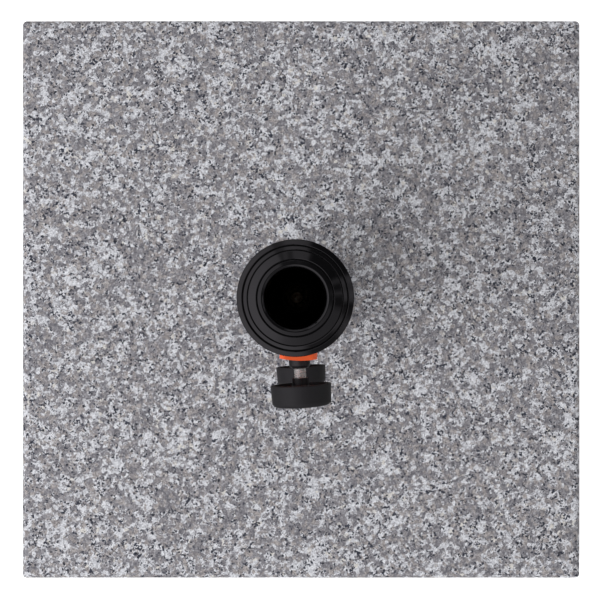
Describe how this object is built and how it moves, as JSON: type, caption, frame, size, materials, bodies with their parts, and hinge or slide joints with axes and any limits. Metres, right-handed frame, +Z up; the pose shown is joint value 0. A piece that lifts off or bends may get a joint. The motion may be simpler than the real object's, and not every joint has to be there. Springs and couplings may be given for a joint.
{
  "type": "parasol base",
  "caption": "Square granite slab on rubber feet with an upright steel tube, nested pole reducers in a stepped collar, and two knob screws that clamp the pole.",
  "frame": {"origin": "on the floor under the middle of the square slab", "axes": "+Z up along the pole socket, whose axis is at x -3.6 mm, y +1.6 mm, -Y towards the clamp knobs, X and Y along the slab's sides"},
  "size_m": [0.5, 0.5, 0.4137],
  "materials": {
    "granite": "fine-ground grey granite with light feldspar patches and small dark mica flecks",
    "rubber": "matte black rubber",
    "black_steel": "black powder coat with a fine texture",
    "zinc_steel": "zinc-plated steel, slightly dull",
    "black_gloss_plastic": "glossy black moulded plastic",
    "black_matte_plastic": "matte black moulded plastic",
    "orange_plastic": "satin orange moulded plastic",
    "grey_plastic": "hard grey plastic"
  },
  "bodies": {
    "base": {"granite_slab": "granite", "foot_front_left": "rubber", "foot_front_right": "rubber", "foot_rear_left": "rubber", "foot_rear_right": "rubber", "base_gasket": "rubber", "stand_tube": "black_steel", "foot_plate": "black_steel", "upper_boss": "black_steel", "lower_boss": "black_steel", "base_bolt": "zinc_steel", "recess_washer": "zinc_steel", "tube_washer": "zinc_steel", "lock_washer": "zinc_steel", "base_nut": "zinc_steel", "pole_seat": "black_matte_plastic", "top_collar": "black_gloss_plastic", "upper_saddle": "orange_plastic", "lower_saddle": "orange_plastic"},
    "reducer_large_body": {"reducer_large": "black_gloss_plastic"},
    "reducer_medium_body": {"reducer_medium": "black_gloss_plastic"},
    "reducer_small_body": {"reducer_small": "black_gloss_plastic"},
    "upper_tip_body": {"upper_tip": "grey_plastic"},
    "upper_screw_body": {"upper_screw": "zinc_steel", "upper_knob": "black_matte_plastic"},
    "lower_tip_body": {"lower_tip": "grey_plastic"},
    "lower_screw_body": {"lower_screw": "zinc_steel", "lower_knob": "black_matte_plastic"}
  },
  "joints": [
    {"name": "reducer_large_lift", "type": "slide", "parent": "base", "child": "reducer_large_body", "axis": [0, 0, 1], "range_m": [0, 0.06]},
    {"name": "reducer_medium_lift", "type": "slide", "parent": "reducer_large_body", "child": "reducer_medium_body", "axis": [0, 0, 1], "range_m": [0, 0.06]},
    {"name": "reducer_small_lift", "type": "slide", "parent": "reducer_medium_body", "child": "reducer_small_body", "axis": [0, 0, 1], "range_m": [0, 0.06]},
    {"name": "upper_tip_travel", "type": "slide", "parent": "base", "child": "upper_tip_body", "axis": [0.0593, -0.9982, 0], "range_m": [-0.0059, 0.005]},
    {"name": "upper_knob_turn", "type": "hinge", "parent": "upper_tip_body", "child": "upper_screw_body", "pos_m": [-0.0036, 0.0016, 0.36], "axis": [0.0593, -0.9982, 0], "range_deg": [-1699.2, 1440]},
    {"name": "lower_tip_travel", "type": "slide", "parent": "base", "child": "lower_tip_body", "axis": [0.0593, -0.9982, 0], "range_m": [-0.0045, 0.0064]},
    {"name": "lower_knob_turn", "type": "hinge", "parent": "lower_tip_body", "child": "lower_screw_body", "pos_m": [-0.0036, 0.0016, 0.169], "axis": [0.0593, -0.9982, 0], "range_deg": [-1296, 1843.2]}
  ],
  "couplings": [
    {"joint": "upper_knob_turn", "follows": "upper_tip_travel", "rad_per_m": 5026.5},
    {"joint": "lower_knob_turn", "follows": "lower_tip_travel", "rad_per_m": 5026.5}
  ]
}
